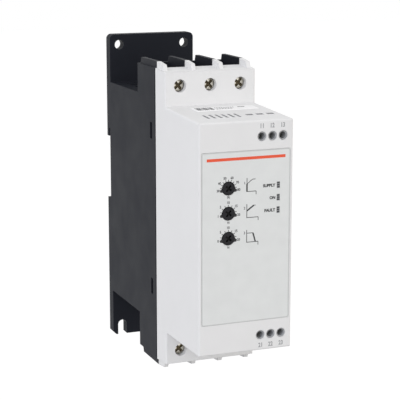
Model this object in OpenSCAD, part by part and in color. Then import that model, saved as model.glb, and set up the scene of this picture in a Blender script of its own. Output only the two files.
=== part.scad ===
// Compact three-phase soft starter: a dark moulded base that clips on a 35 mm rail or is screwed
// to a panel, and a pale front cover with the setting dials, the lamps and the terminal openings.
// X runs across the device, Y towards the wall behind it and Z up. The origin lies in the plane
// of the wall, in the middle of the rail's centre line.

/* [Housing] */
// Width of the device
width = 45; // [44:0.5:56]
// Thickness of the moulded walls
wall = 2; // [1.6:0.1:2.4]
// Radius of the outer edges of the cover
edge_r = 0.8; // [0.4:0.1:1.4]
// Height by which the mounting plate exceeds the terminal tower
plate_over = 17.2; // [14:0.2:30]
// Thickness of the mounting plate
plate_t = 5.9; // [5.6:0.1:8]
// Height by which the heat sink chamber exceeds the space between the bays
chamber_over = 2.1; // [1:0.1:8]
// Depth of the heat sink chamber
chamber_d = 42.2; // [36:0.2:60]
// Height of the terminal bays
bay_h = 16.5; // [14.9:0.1:20]
// Depth of the tower that belongs to the base
tower_d = 25; // [24:0.2:32]
// Depth of the tower that belongs to the cover
cover_d = 12.4; // [10:0.2:15]
// Fall of the cover's tower ends, from the parting plane to the terminal face
cover_draft = 0.9; // [0:0.1:1.2]
// Height of the front box at its front face
front_h = 105; // [98:0.5:110]
// Depth of the front box
front_d = 41.9; // [36:0.1:55]
// Rise of the front box's top, from its front to the terminal face
draft_top = 1.8; // [0.4:0.1:3]
// Fall of the front box's underside, from its front to the terminal face
draft_bottom = 0.6; // [0.4:0.1:3]
// Height of the rail's centre line above the middle of the plate
rail_rise = 13.1; // [8:0.1:18]
// Drop of the tower's middle below the middle of the plate
tower_drop = 1.4; // [0:0.1:3]
// Drop of the front box's middle below the middle of the plate
front_drop = 2.2; // [0.6:0.1:3]

/* [Mounting plate] */
// Diameter of the fixing holes and width of the open fixing slots
fixing_d = 4.8; // [4.2:0.1:5.4]
// Distance between the fixing holes
fixing_pitch = 35; // [32:0.5:36]
// Distance of the fixing holes from the plate's top and bottom edges
fixing_inset = 5.2; // [4.6:0.1:7]
// Radius of the plate's top corners
plate_r = 2.4; // [1:0.1:4]
// Chamfer of the plate's bottom corners
plate_chamfer = 1.6; // [0.5:0.1:2]
// Width of the mounting rail
rail_h = 35; // [33:0.5:37]
// Depth of the rail notch
notch_d = 4.5; // [4.1:0.1:5]
// Width of the groove that takes the rail's edge
groove_w = 1.6; // [1.2:0.1:2]
// Overlap of the fixed hook over the rail
hook_grip = 3.8; // [2.5:0.1:5]
// Overlap of the sprung latch over the rail
latch_grip = 2.4; // [1.5:0.1:3]
// Travel of the latch
latch_travel = 4; // [3:0.1:5]

/* [Power terminals] */
// Thickness of the barriers between the phases
rib_t = 2; // [1.4:0.1:2.4]
// Height of the barriers above the ends of the tower
rib_proud = 3; // [1.4:0.1:5]
// Set-back of the outer barriers from the sides
rib_inset = 0.8; // [0.4:0.1:1.4]
// Set-back of the barriers' front ends from the terminal face
rib_setback = 3.2; // [0.2:0.1:5]
// Thickness of the caps that close the bays in the cover
cap_t = 2.4; // [2:0.1:2.8]
// Distance of the screws from the ends of the tower
screw_inset = 7.3; // [6.5:0.1:8.5]
// Offset of the outer screws from the middle of their bays
screw_offset = 1.2; // [0:0.1:1.3]
// Diameter of the screwdriver holes
driver_d = 6; // [5.8:0.1:7]
// Diameter of the terminal screws' heads
screw_head_d = 5.5; // [4.8:0.1:5.7]
// Thickness of the terminal screws' heads
screw_head_t = 2.2; // [1.8:0.1:2.8]
// Diameter of the terminal screws' threads
screw_d = 4; // [3:0.1:4.4]
// Depth of the screw heads behind the terminal face
screw_recess = 3; // [2.4:0.1:4.5]
// Depth of the box clamps behind the parting plane
clamp_setback = 1.2; // [0.6:0.1:2.4]
// Clearance of the box clamps in their bays
clamp_side = 0.4; // [0.2:0.1:0.8]
// Length of the box clamps along the wire
clamp_l = 9; // [7:0.1:10]
// Thickness of the box clamps' metal
clamp_t = 1.3; // [1:0.1:1.5]
// Space for the wire in a box clamp
wire_space = 7; // [6:0.1:8]
// Clearance of the busbars in the box clamps
bar_side = 0.4; // [0.2:0.1:0.8]
// Thickness of the busbars
bar_t = 1.4; // [1:0.1:2]

/* [Front face] */
// Distance of the printed fascia from the sides of the front face
fascia_side = 1.3; // [1:0.1:2.5]
// Height of the printed fascia
fascia_h = 77.7; // [74:0.1:80]
// Height of the fascia's middle above the middle of the front box
fascia_rise = 0.5; // [-1:0.1:1.5]
// Thickness of the fascia film
fascia_t = 0.3; // [0.2:0.1:0.6]
// Distance of the dials from the left side
dial_edge = 14; // [10.5:0.1:15.5]
// Height of the middle dial above the middle of the front box
dial_rise = 11.9; // [6:0.1:14]
// Distance between the dials
dial_pitch = 11.25; // [10:0.05:12]
// Diameter of the dials
dial_d = 5.7; // [5:0.1:6.5]
// Diameter of the dials' spindles
spindle_d = 3; // [2:0.1:3.6]
// Distance of the lamps from the right side
lamp_edge = 7; // [5.5:0.1:10.5]
// Width of a lamp
lamp_w = 1.4; // [1:0.1:2]
// Height of a lamp
lamp_h = 2.9; // [2:0.1:3.4]
// Distance between the poles of the control terminals
pole_pitch = 5.08; // [4.9:0.02:5.2]
// Distance of the outer control pole from the right side
pole_edge = 5; // [4.9:0.1:6]
// Distance of the control screws from the ends of the front box
pole_inset = 7.2; // [7:0.1:8]
// Diameter of the control screws' openings
pole_hole_d = 4.3; // [3.9:0.1:4.5]
// Distance of the control wire entries from the front face
entry_setback = 14; // [13:0.1:15]
// Number of vent slots in the top and the underside of the front box
vent_count = 6; // [3:1:6]
// Distance between these vent slots
vent_pitch = 3; // [2:0.1:3.2]
// Width of these vent slots
vent_w = 1.1; // [0.8:0.1:1.4]
// Length of these vent slots
vent_l = 8; // [5:0.1:9]
// Width of the blank sticker on the top
sticker_w = 30.2; // [20:0.1:34]
// Depth of the blank sticker on the top
sticker_d = 8.5; // [6:0.1:12]

/* [Inside] */
// Thickness of the circuit boards
board_t = 1.6; // [1:0.1:2]
// Distance of the control board behind the front face
control_setback = 21; // [20:0.1:24]
// Distance of the power board behind the parting plane
power_setback = 15.7; // [14.5:0.1:16.5]
// Thickness of the heat sink's base
sink_base_t = 5; // [4:0.1:8]
// Number of heat sink fins
fin_count = 9; // [5:1:10]
// Thickness of the heat sink fins
fin_t = 1.6; // [1:0.1:2]
// Number of openings in each chamber grille
grille_count = 5; // [3:1:6]
// Width of the openings in the chamber grilles
grille_w = 4; // [3:0.1:5]
// Thickness of the thyristor modules
thyristor_t = 6; // [5:0.1:7]
// Diameter of the latch spring
spring_d = 2.6; // [2:0.1:2.8]
// Wire diameter of the latch spring
spring_wire = 0.4; // [0.3:0.05:0.5]

/* [Hidden] */
$fn = 48;

// Fits: pieces laid into each other, spindles that turn, cuts that pass through a wall
gap = 0.2;
spindle_gap = 0.05;
through = 1;

// Planes across the depth, from the wall to the front face
half_w = width / 2;
in_w = half_w - wall;
y_plate = -plate_t;
y_chamber = y_plate - chamber_d;
y_part = y_chamber - tower_d;
y_face = y_part - cover_d;
y_front = y_face - front_d;
y_inside = y_front + wall;

// Groove round the base where the cover meets it
seam_w = 1;
seam_d = 0.4;

// Heights of the plate, the chamber, the front box and the terminal bays
z_plate = -rail_rise;
z_tower = z_plate - tower_drop;
z_front = z_plate - front_drop;
z_front_top = z_front + front_h / 2;
z_front_bottom = z_front - front_h / 2;
bay_span = front_h + draft_top + draft_bottom;
chamber_h = bay_span + chamber_over;
tower_h = bay_span + 2 * bay_h;
plate_h = tower_h + plate_over;
z_plate_top = z_plate + plate_h / 2;
z_plate_bottom = z_plate - plate_h / 2;
function end_z(s) = z_tower + s * tower_h / 2;
function rib_z(s) = end_z(s) + s * rib_proud;
function front_z(s) = z_front + s * front_h / 2;
function bay_z(s) = s > 0 ? z_front_top + draft_top : z_front_bottom - draft_bottom;
function screw_z(s) = end_z(s) - s * screw_inset;
function pole_z(s) = front_z(s) - s * pole_inset;

// Phase bays and their terminals
bay_pitch = (width - 2 * rib_inset - rib_t) / 3;
bay_w = bay_pitch - rib_t;
clamp_w = bay_w - 2 * (screw_offset + clamp_side);
bar_w = clamp_w - 2 * (clamp_t + bar_side);
rib_lean = 1.6;
rib_slope = 1.4;
function bay_x(i) = i * bay_pitch;
function screw_x(i) = i * (bay_pitch + screw_offset);
boss_t = 1.2;
boss_wall = 1.1;
y_head = y_face + screw_recess;
y_shank = y_head + screw_head_t;
y_clamp = y_part + clamp_setback;
y_window = y_clamp + clamp_t;
screw_tip = 1;
y_tip = y_window + screw_tip;
y_bar = y_window + wire_space;
y_clamp_end = y_bar + bar_t + gap + clamp_t;
bar_drop = 10;
bar_end = 0.6;
screw_turn = 46;
screw_turn_step = 6;

// Front face
y_film = y_front + fascia_t;
fascia_w = width - 2 * fascia_side;
dial_x = half_w - dial_edge;
lamp_x = half_w - lamp_edge;
pole_x = half_w - pole_edge - pole_pitch;
dial_z = z_front + dial_rise;
dial_gap = 0.3;
dial_hole_r = dial_d / 2 + dial_gap;
dial_head_t = 3;
dial_proud = 0.3;
cross_w = 0.9;
cross_l = 3.4;
cross_depth = 0.9;
cross_turn = 38;
z_lamp = dial_z + dial_pitch / 2;
lamp_pitch = dial_pitch / 2;
lamp_gap = 0.05;
entry_w = 3.4;
entry_d = 2.8;
vent_mid = -6;
sticker_mid = 2.6;
sticker_gap = 6.5;
sticker_t = 0.2;
slope_top = atan(draft_top / front_d);
slope_bottom = atan(draft_bottom / front_d);
function top_z(y) = z_front_top + (y - y_front) * tan(slope_top);

// Circuit boards and what they carry
y_control = y_front + control_setback;
y_control_back = y_control + board_t;
y_power = y_part + power_setback;
y_power_back = y_power + board_t;
board_side = 1;
board_half = in_w - board_side;
board_margin = 3;
post_r = 2.5;
post_side = 3.5;
post_x = in_w - post_side;
post_z = 29;
post_bite = 5.4;
board_screw_r = 1;
board_head_r = 2;
board_head_t = 1.4;
trimmer_w = 9;
trimmer_t = 6;
trimmer_step = 1;
trimmer_rim = 0.5;
spindle_depth = 4;
indicator_t = 1.4;
collar = 0.6;
collar_t = 1;
ledge_w = 6;
ledge_d = 5;
ledge_inset = 20;
relay_w = 15;
relay_d = 16.2;
relay_h = 28;
relay_x = 8.6;
link_h = 20;
link_inset = 26.5;
link_z = z_front_top - link_inset;
socket_w = 5;
socket_d = 5.4;
socket_slot = 4;
socket_end = 1;
relay_gap = 1;
relay_z = link_z - link_h / 2 - socket_end - relay_gap - relay_h / 2;

// Control terminals
block_wall = 0.5;
block_setback = wall + gap;
block_d = control_setback - block_setback;
block_floor = 2;
cage_side = 0.25;
cage_w = pole_pitch - 2 * (block_wall + cage_side);
cage_d = 4.4;
cage_l = 6;
cage_t = 0.6;
sleeve_t = 0.45;
sleeve_back = 0.4;
sleeve_r = pole_hole_d / 2 - gap / 2;
bore_r = sleeve_r - sleeve_t;
control_head_r = bore_r - gap / 2;
control_head_t = 1.6;
control_thread_r = 1.1;
control_lift = 7;
control_tip = 1.4;
control_turn = 20;
y_entry = y_front + entry_setback;
y_cage = y_entry - cage_d / 2;

// Heat sink, its posts and the thyristors
sink_setback = 2.7;
y_sink = y_chamber + sink_setback;
y_sink_back = y_sink + sink_base_t;
sink_gap = 1.25;
sink_h = chamber_h - 2 * (wall + sink_gap);
sink_post_r = 3;
sink_post_side = 5.5;
sink_post_x = in_w - sink_post_side;
sink_post_inset = 4.3;
sink_post_z = sink_h / 2 - sink_post_inset;
sink_screw_r = 1.5;
sink_head_t = 1.6;
sink_recess = 1;
sink_bite = 12;
sink_blind = 1;
fin_side = 3;
fin_half = in_w - fin_side;
fin_clear = 2.2;
fin_l = 2 * (sink_post_z - sink_post_r - fin_clear);
fin_gap = 3;
fin_end = y_plate - fin_gap;
thyristor_w = 16;
thyristor_h = 32;
thyristor_x = 9.4;
thyristor_screw = 11;
pin_r = 0.6;
grille_side = 4;
grille_half = in_w - grille_side;

// Snap tongues of the cover in the windows of the base
snap_inset_top = 13.3;
snap_inset_bottom = 18.4;
snap_z = [bay_z(1) - snap_inset_top, bay_z(-1) + snap_inset_bottom];
snap_h = 7.7;
snap_w = 2.8;
snap_setback = 5;
tongue_t = 1.2;
tongue_root = 6;
barb = 0.8;

// Rail notch, latch and latch spring
z_hook = rail_h / 2 - hook_grip;
groove_gap = 0.4;
z_groove = rail_h / 2 + groove_gap;
notch_gap = 1.1;
z_notch = -rail_h / 2 - notch_gap;
y_groove = -notch_d + groove_w;
latch_w = 12;
flange_w = 17;
flange_t = 1.7;
channel_d = 3.4;
y_channel = -channel_d;
y_lip = y_channel + flange_t;
latch_back = 0.4;
y_latch = -latch_back;
z_latch_top = -rail_h / 2 + latch_grip;
latch_foot = 1.5;
z_latch_bottom = z_plate_bottom + latch_foot;
stop_drop = 4.4;
z_stop = z_notch - stop_drop;
spring_drop = 22;
z_spring_top = z_notch - spring_drop;
spring_min = 12;
z_spring_seat = z_spring_top - spring_min - latch_travel;
spring_side = 0.6;
spring_window = spring_d / 2 + spring_side;
spring_post = 3.6;
pull_rise = 4;
pull_z = z_latch_bottom + pull_rise;
pull_w = 6;
pull_h = 2.4;
y_spring = (y_channel + y_latch) / 2;
spring_turns = 8;
spring_sides = 8;
spring_steps = 16;

base_grey = [0.235, 0.24, 0.26];
cover_grey = [0.87, 0.87, 0.865];
film_grey = [0.85, 0.86, 0.85];
black = [0.09, 0.09, 0.1];
board_green = [0.1, 0.36, 0.2];
steel = [0.72, 0.71, 0.68];
copper = [0.74, 0.45, 0.3];
alu = [0.75, 0.76, 0.77];

// Limits of a stretch about its middle
function about(middle, size) = [middle - size / 2, middle + size / 2];

// Box between two limits on each axis, given in either order
module span(x, y, z) {
    low = [min(x), min(y), min(z)];
    high = [max(x), max(y), max(z)];
    translate(low) cube(high - low);
}

// Round bar along Y between two limits
module rod(y, r) {
    translate([0, y[0], 0])
        rotate([-90, 0, 0])
            cylinder(r = r, h = y[1] - y[0]);
}

// Outline in X and Z, carried along Y between two limits
module along_y(y) {
    translate([0, y[1], 0])
        rotate([90, 0, 0])
            linear_extrude(y[1] - y[0]) children();
}

// Side profile in Y and Z, carried along X between two limits
module along_x(x) {
    translate([x[0], 0, 0])
        rotate([90, 0, 90])
            linear_extrude(x[1] - x[0]) children();
}

// Rectangle about the origin with rounded corners
module rounded(w, h, r) {
    square([w, h - 2 * r], center = true);
    square([w - 2 * r, h], center = true);
    for (sx = [-1, 1], sz = [-1, 1])
        translate([sx * (w / 2 - r), sz * (h / 2 - r)])
            circle(r);
}

// Rectangle that hangs from the X axis, with two rounded upper corners
module crowned(w, h, r) {
    translate([-w / 2, -h]) square([w, h - r]);
    translate([r - w / 2, -h]) square([w - 2 * r, h]);
    for (sx = [-1, 1])
        translate([sx * (w / 2 - r), -r])
            circle(r);
}

// Plan of a box with two rounded front corners, carried up between two heights
module front_rounded(y, z) {
    translate([0, y[0], z[0]])
        linear_extrude(z[1] - z[0])
            mirror([0, 1]) crowned(width, y[1] - y[0], edge_r);
}

// Phase barrier above one end of the tower, with a sloped front or rear end and a fall to the front
module rib_tip(s, i, y, y_slope, fall) {
    x = (i + 0.5) * bay_pitch;
    along_x(about(x, rib_t))
        polygon([
            [y[0], end_z(s) - s * through],
            [y_slope[0], rib_z(s) - s * fall],
            [y_slope[1], rib_z(s)],
            [y[1], end_z(s) - s * through]
        ]);
}

// The three bays at one end of the tower, up to a given height
module bays(s, y, z_end) {
    for (i = [-1 : 1])
        span(about(bay_x(i), bay_w), y, [bay_z(s), z_end]);
}

// Outline of the mounting plate with its round holes and its open slots
module plate_outline() {
    difference() {
        translate([0, z_plate_top]) crowned(width, plate_h, plate_r);
        for (sx = [-1, 1]) {
            translate([sx * fixing_pitch / 2, z_plate_bottom + fixing_inset])
                circle(fixing_d / 2);
            translate([sx * fixing_pitch / 2 - fixing_d / 2, z_plate_bottom - through])
                square([fixing_d, fixing_inset + through]);
            translate([sx * half_w, z_plate_bottom])
                rotate(45)
                    square(plate_chamfer * sqrt(2), center = true);
        }
    }
}

// Rail notch with the groove behind the fixed hook
module rail_notch() {
    along_x([-half_w - through, half_w + through])
        polygon([
            [through, z_notch], [-notch_d, z_notch],
            [-notch_d, z_groove], [y_groove, z_groove],
            [y_groove, z_hook], [through, z_hook]
        ]);
}

// Stepped channel in the plate that guides the latch
module latch_channel() {
    span(about(0, flange_w + 2 * gap), [y_channel, y_lip],
        [z_plate_bottom - through, z_stop]);
    span(about(0, latch_w + 2 * gap), [y_channel, through],
        [z_plate_bottom - through, z_notch + through]);
}

module base_shell() {
    difference() {
        union() {
            along_y([y_plate, 0]) plate_outline();
            span([-half_w, half_w], [y_chamber, y_plate],
                about(z_plate, chamber_h));
            span([-half_w, half_w], [y_part + seam_w, y_chamber], [end_z(-1), end_z(1)]);
            span([seam_d - half_w, half_w - seam_d], [y_part, y_chamber],
                [end_z(-1) + seam_d, end_z(1) - seam_d]);
            for (s = [-1, 1], i = [-2 : 1])
                rib_tip(s, i, [y_part, y_chamber - wall], [y_part, y_chamber - wall - rib_slope], 0);
        }
        span([-in_w, in_w], [y_chamber, y_plate],
            about(z_plate, chamber_h - 2 * wall));
        span([-in_w, in_w], [y_part - through, y_chamber + through],
            [bay_z(-1) + wall, bay_z(1) - wall]);
        for (s = [-1, 1])
            bays(s, [y_part - through, y_chamber - wall], rib_z(s) + s * through);
    }
}

module base_housing() {
    color(base_grey)
    difference() {
        union() {
            base_shell();
            for (sx = [-1, 1], sz = [-1, 1]) {
                translate([sx * sink_post_x, 0, z_plate + sz * sink_post_z])
                    rod([y_sink_back, y_plate + through], sink_post_r);
                board_ledge(sx, sz);
            }
        }
        for (sx = [-1, 1], sz = [-1, 1]) {
            translate([sx * sink_post_x, 0, z_plate + sz * sink_post_z])
                rod([y_sink_back - through, y_sink_back + sink_bite + through], sink_screw_r + spindle_gap);
            translate([sx * (board_half - ledge_w / 2), 0, ledge_z(sz)])
                rod([y_power_back - through, y_power_back + ledge_d], board_screw_r + spindle_gap);
        }
        for (sx = [-1, 1])
            translate([sx * fixing_pitch / 2, 0, z_plate_top - fixing_inset])
                rod([y_plate - through, through], fixing_d / 2);
        for (sz = [-1, 1])
            chamber_grille(sz);
        for (s = [-1, 1], i = [-1 : 1])
            bar_slot(s, i);
        for (z = snap_z)
            span([-half_w - through, half_w + through],
                [y_part + snap_setback, y_part + snap_setback + snap_w],
                about(z, snap_h));
        rail_notch();
        difference() {
            latch_channel();
            spring_seat();
        }
    }
}

// Post in the latch channel that carries the spring
module spring_seat() {
    span(about(0, spring_d), [y_channel - through, y_latch],
        [z_spring_seat - spring_post, z_spring_seat]);
}

// Openings across one end of the heat sink chamber
module chamber_grille(sz) {
    pitch = chamber_d / (grille_count + 1);
    for (i = [1 : grille_count])
        span([-grille_half, grille_half],
            about(y_chamber + i * pitch, grille_w),
            about(z_plate + sz * (chamber_h - wall) / 2, wall + 2 * through));
}

// Slot in the floor of a bay that lets a busbar through
module bar_slot(s, i) {
    span(about(screw_x(i), bar_w + 2 * gap), [y_bar - gap, y_bar + bar_t + gap],
        [bay_z(s) + s * through, bay_z(s) - s * (wall + through)]);
}

// Height of the ledges that carry the power board
function board_z(sz) = bay_z(sz) - sz * (wall + board_margin);
function ledge_z(sz) = board_z(sz) - sz * ledge_inset;

module board_ledge(sx, sz) {
    span([sx * (board_half - ledge_w), sx * (in_w + wall / 2)],
        [y_power_back, y_power_back + ledge_d],
        about(ledge_z(sz), ledge_w));
}

// Side profile of the front box, with rounded front edges
module front_profile() {
    top = [y_front + edge_r,
        z_front_top + edge_r * (tan(slope_top) - 1 / cos(slope_top))];
    bottom = [y_front + edge_r,
        z_front_bottom - edge_r * (tan(slope_bottom) - 1 / cos(slope_bottom))];
    polygon([
        [y_face + wall, bay_z(1) + wall * tan(slope_top)],
        top + edge_r * [-sin(slope_top), cos(slope_top)],
        [y_front, top[1]],
        [y_front, bottom[1]],
        bottom + edge_r * [-sin(slope_bottom), -cos(slope_bottom)],
        [y_face + wall, bay_z(-1) - wall * tan(slope_bottom)]
    ]);
    translate(top) circle(edge_r);
    translate(bottom) circle(edge_r);
}

// Front box of the cover, rounded on all its outer edges
module front_box() {
    intersection() {
        along_x([-half_w, half_w]) front_profile();
        front_rounded([y_front, y_face + wall], [z_front_bottom - wall, z_front_top + 2 * wall]);
        translate([0, y_front, z_front_top])
            rotate([slope_top, 0, 0])
                along_y([-front_h, 2 * front_h]) crowned(width, 2 * front_h, edge_r);
        translate([0, y_front, z_front_bottom])
            rotate([-slope_bottom, 0, 0])
                along_y([-front_h, 2 * front_h])
                    mirror([0, 1]) crowned(width, 2 * front_h, edge_r);
    }
}

// Front half of the terminal tower, whose ends fall towards the terminal face
module cover_tower() {
    intersection() {
        front_rounded([y_face, y_part], [end_z(-1), end_z(1)]);
        along_x([-half_w, half_w])
            polygon([
                [y_face, end_z(-1) + cover_draft], [y_part, end_z(-1)],
                [y_part, end_z(1)], [y_face, end_z(1) - cover_draft]
            ]);
    }
}

module cover_shell() {
    y_rib = y_face + rib_setback;
    difference() {
        union() {
            front_box();
            cover_tower();
            for (s = [-1, 1], i = [-2 : 1])
                rib_tip(s, i, [y_rib, y_part], [y_rib + rib_lean, y_part], cover_draft);
        }
        span([-in_w, in_w], [y_inside, y_part + through],
            [z_front_bottom + wall, z_front_top - wall]);
        for (s = [-1, 1])
            bays(s, [y_face + wall, y_part + through], end_z(s) - s * cap_t);
    }
}

module front_cover() {
    color(cover_grey)
    difference() {
        union() {
            cover_shell();
            for (sx = [-1, 1], sz = [-1, 1])
                translate([sx * post_x, 0, z_front + sz * post_z])
                    rod([y_inside - wall / 2, y_control], post_r);
            for (s = [-1, 1], i = [-1 : 1])
                translate([screw_x(i), 0, screw_z(s)])
                    rod([y_face + wall / 2, y_face + wall + boss_t], driver_d / 2 + boss_wall);
            for (sx = [-1, 1], z = snap_z)
                snap_tongue(sx, z);
        }
        for (sx = [-1, 1], sz = [-1, 1])
            translate([sx * post_x, 0, z_front + sz * post_z])
                rod([y_control - post_bite - through, y_control + through], board_screw_r + spindle_gap);
        for (s = [-1, 1], i = [-1 : 1]) {
            translate([screw_x(i), 0, screw_z(s)])
                rod([y_face - through, y_face + wall + boss_t + through], driver_d / 2);
            translate([pole_x + i * pole_pitch, 0, pole_z(s)])
                rod([y_front - through, y_inside + through], pole_hole_d / 2);
            span(about(pole_x + i * pole_pitch, entry_w), about(y_entry, entry_d),
                [front_z(s) + s * 2 * wall, front_z(s) - s * (wall + through)]);
        }
        for (s = [-1, 1], k = [0 : vent_count - 1])
            vent_slot(s, vent_mid + (k - (vent_count - 1) / 2) * vent_pitch);
        translate([0, 0, z_front + fascia_rise])
            along_y([y_front - through, y_film]) rounded(fascia_w + gap, fascia_h + gap, edge_r);
        for (i = [-1 : 1]) {
            translate([-dial_x, 0, dial_z + i * dial_pitch])
                rod([y_front - through, y_inside + through], dial_hole_r);
            lamp_bar(i, [y_front - through, y_inside + through], lamp_gap);
        }
    }
}

// Vent slot across the top or the underside of the front box
module vent_slot(s, x) {
    span(about(x, vent_w), about(y_entry, vent_l),
        [front_z(s) + s * 2 * wall, front_z(s) - s * (wall + through)]);
}

// Tongue of the cover that snaps into a window of the base
module snap_tongue(sx, z) {
    y_barb = y_part + snap_setback + gap;
    h = snap_h - 2 * gap;
    span([sx * (in_w - gap - tongue_t), sx * (in_w - gap)],
        [y_part - tongue_root, y_barb + snap_w], about(z, h));
    span([sx * (in_w - gap - tongue_t), sx * (in_w + wall / 2)],
        [y_part - tongue_root, y_part - tongue_root / 3], about(z, h));
    span([sx * (in_w - gap - tongue_t), sx * (in_w - gap + barb)],
        [y_barb, y_barb + snap_w - 2 * gap], about(z, h));
}

// Bar with a lamp's outline, widened all round by a margin
module lamp_bar(i, y, margin) {
    span(about(lamp_x, lamp_w + 2 * margin), y,
        about(z_lamp + i * lamp_pitch, lamp_h + 2 * margin));
}

module fascia_film() {
    color(film_grey)
    difference() {
        translate([0, 0, z_front + fascia_rise])
            along_y([y_front, y_film]) rounded(fascia_w, fascia_h, edge_r);
        for (i = [-1 : 1]) {
            translate([-dial_x, 0, dial_z + i * dial_pitch])
                rod([y_front - through, y_film + through], dial_hole_r);
            lamp_bar(i, [y_front - through, y_film + through], lamp_gap);
        }
    }
}

module blank_sticker() {
    y_near = y_face - sticker_gap - sticker_d;
    y_far = y_face - sticker_gap;
    color("white")
    along_x(about(sticker_mid, sticker_w))
        polygon([
            [y_near, top_z(y_near)], [y_far, top_z(y_far)],
            [y_far, top_z(y_far) + sticker_t], [y_near, top_z(y_near) + sticker_t]
        ]);
}

module dial(i) {
    color(black)
    translate([-dial_x, 0, dial_z + i * dial_pitch])
        difference() {
            union() {
                rod([y_front - dial_proud, y_front + dial_head_t], dial_d / 2);
                rod([y_front, y_control - trimmer_t + spindle_depth], spindle_d / 2);
            }
            for (turn = [cross_turn, cross_turn + 90])
                rotate([0, turn, 0])
                    span(about(0, cross_l),
                        [y_front - dial_proud - through, y_front - dial_proud + cross_depth],
                        about(0, cross_w));
        }
}

module trimmer(i) {
    color("royalblue")
    translate([-dial_x, 0, dial_z + i * dial_pitch])
        difference() {
            union() {
                span(about(0, trimmer_w), [y_control - trimmer_t + trimmer_step, y_control],
                    about(0, trimmer_w));
                rod([y_control - trimmer_t, y_control], trimmer_w / 2 - trimmer_rim);
            }
            rod([y_control - trimmer_t - through, y_control - trimmer_t + spindle_depth + gap],
                spindle_d / 2 + spindle_gap);
        }
}

module light_pipe(i) {
    color([0.36, 0.37, 0.38])
    union() {
        lamp_bar(i, [y_front, y_control - indicator_t], 0);
        lamp_bar(i, [y_inside, y_inside + collar_t], collar);
    }
}

module indicator(i) {
    color("ivory")
        lamp_bar(i, [y_control - indicator_t, y_control], gap);
}

module control_board() {
    color(board_green)
    difference() {
        span([-board_half, board_half], [y_control, y_control_back],
            [z_front_bottom + wall + board_side, z_front_top - wall - board_side]);
        for (sx = [-1, 1], sz = [-1, 1])
            translate([sx * post_x, 0, z_front + sz * post_z])
                rod([y_control - through, y_control_back + through], board_screw_r + gap);
    }
}

// Pan-headed screw driven towards the front, with its head on a plane
module board_screw(y_seat, reach) {
    rod([y_seat - reach, y_seat + board_head_t / 2], board_screw_r);
    difference() {
        rod([y_seat, y_seat + board_head_t], board_head_r);
        for (turn = [0, 90])
            rotate([0, turn, 0])
                span(about(0, board_head_r),
                    [y_seat + board_head_t / 2, y_seat + board_head_t + through],
                    about(0, cross_w / 2));
    }
}

module control_board_screws() {
    color(steel)
    for (sx = [-1, 1], sz = [-1, 1])
        translate([sx * post_x, 0, z_front + sz * post_z])
            board_screw(y_control_back, board_t + post_bite);
}

// Plastic block of the control terminals, with sleeves in the openings of the front face, screw
// bores and clamp chambers
module control_block(s) {
    z_out = front_z(s) - s * (wall + gap);
    color([0.62, 0.63, 0.64])
    difference() {
        union() {
            span(about(pole_x, 3 * pole_pitch), [y_control - block_d, y_control],
                [z_out, pole_z(s) - s * (cage_l / 2 + block_floor)]);
            for (i = [-1 : 1])
                translate([pole_x + i * pole_pitch, 0, pole_z(s)])
                    rod([y_front + sleeve_back, y_control - block_d + through], sleeve_r);
        }
        for (i = [-1 : 1])
            translate([pole_x + i * pole_pitch, 0, 0]) {
                translate([0, 0, pole_z(s)])
                    rod([y_front - through, y_cage + through], bore_r);
                span(about(0, cage_w + 2 * gap), about(y_entry, cage_d + 2 * gap),
                    [z_out + s * through, pole_z(s) - s * (cage_l / 2 + gap)]);
            }
    }
}

module control_clamps(s) {
    color(steel)
    for (i = [-1 : 1])
        translate([pole_x + i * pole_pitch, 0, pole_z(s)])
            difference() {
                span(about(0, cage_w), about(y_entry, cage_d), about(0, cage_l));
                span(about(0, cage_w - 2 * cage_t), about(y_entry, cage_d - 2 * cage_t),
                    about(0, cage_l + 2 * through));
                rod([y_cage - through, y_cage + cage_t + through], control_thread_r + spindle_gap);
            }
}

module control_screws(s) {
    y_top = y_cage - control_lift;
    color(steel)
    for (i = [-1 : 1])
        translate([pole_x + i * pole_pitch, 0, pole_z(s)])
            difference() {
                union() {
                    rod([y_top, y_top + control_head_t], control_head_r);
                    rod([y_top, y_cage + control_tip], control_thread_r);
                }
                rotate([0, control_turn * i, 0])
                    span(about(0, 3 * control_head_r), [y_top - through, y_top + control_head_t / 2],
                        about(0, cross_w * 2 / 3));
            }
}

// Board on edge that joins the two circuit boards
module link_board() {
    color(board_green)
        span(about(0, board_t),
            [y_control_back + socket_d - socket_slot, y_power - socket_d + socket_slot],
            about(link_z, link_h));
}

// Socket that holds one edge of the link board
module link_socket(y, y_slot) {
    color(black)
    difference() {
        span(about(0, socket_w), y, about(link_z, link_h + 2 * socket_end));
        span(about(0, board_t), y_slot, about(link_z, link_h));
    }
}

module link_socket_front() {
    link_socket([y_control_back, y_control_back + socket_d],
        [y_control_back + socket_d - socket_slot, y_control_back + socket_d + through]);
}

module link_socket_rear() {
    link_socket([y_power - socket_d, y_power],
        [y_power - socket_d - through, y_power - socket_d + socket_slot]);
}

module power_board() {
    color(board_green)
    difference() {
        span([-board_half, board_half], [y_power, y_power_back], [board_z(-1), board_z(1)]);
        for (sx = [-1, 1], sz = [-1, 1])
            translate([sx * (board_half - ledge_w / 2), 0, ledge_z(sz)])
                rod([y_power - through, y_power_back + through], board_screw_r + gap);
    }
}

module power_board_screws() {
    color(steel)
    for (sx = [-1, 1], sz = [-1, 1])
        translate([sx * (board_half - ledge_w / 2), y_power, ledge_z(sz)])
            mirror([0, 1, 0]) board_screw(0, ledge_d);
}

module relay(sx) {
    color([0.16, 0.17, 0.2])
        span([sx * (relay_x - relay_w / 2), sx * (relay_x + relay_w / 2)], [y_power - relay_d, y_power],
            about(relay_z, relay_h));
}

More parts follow.
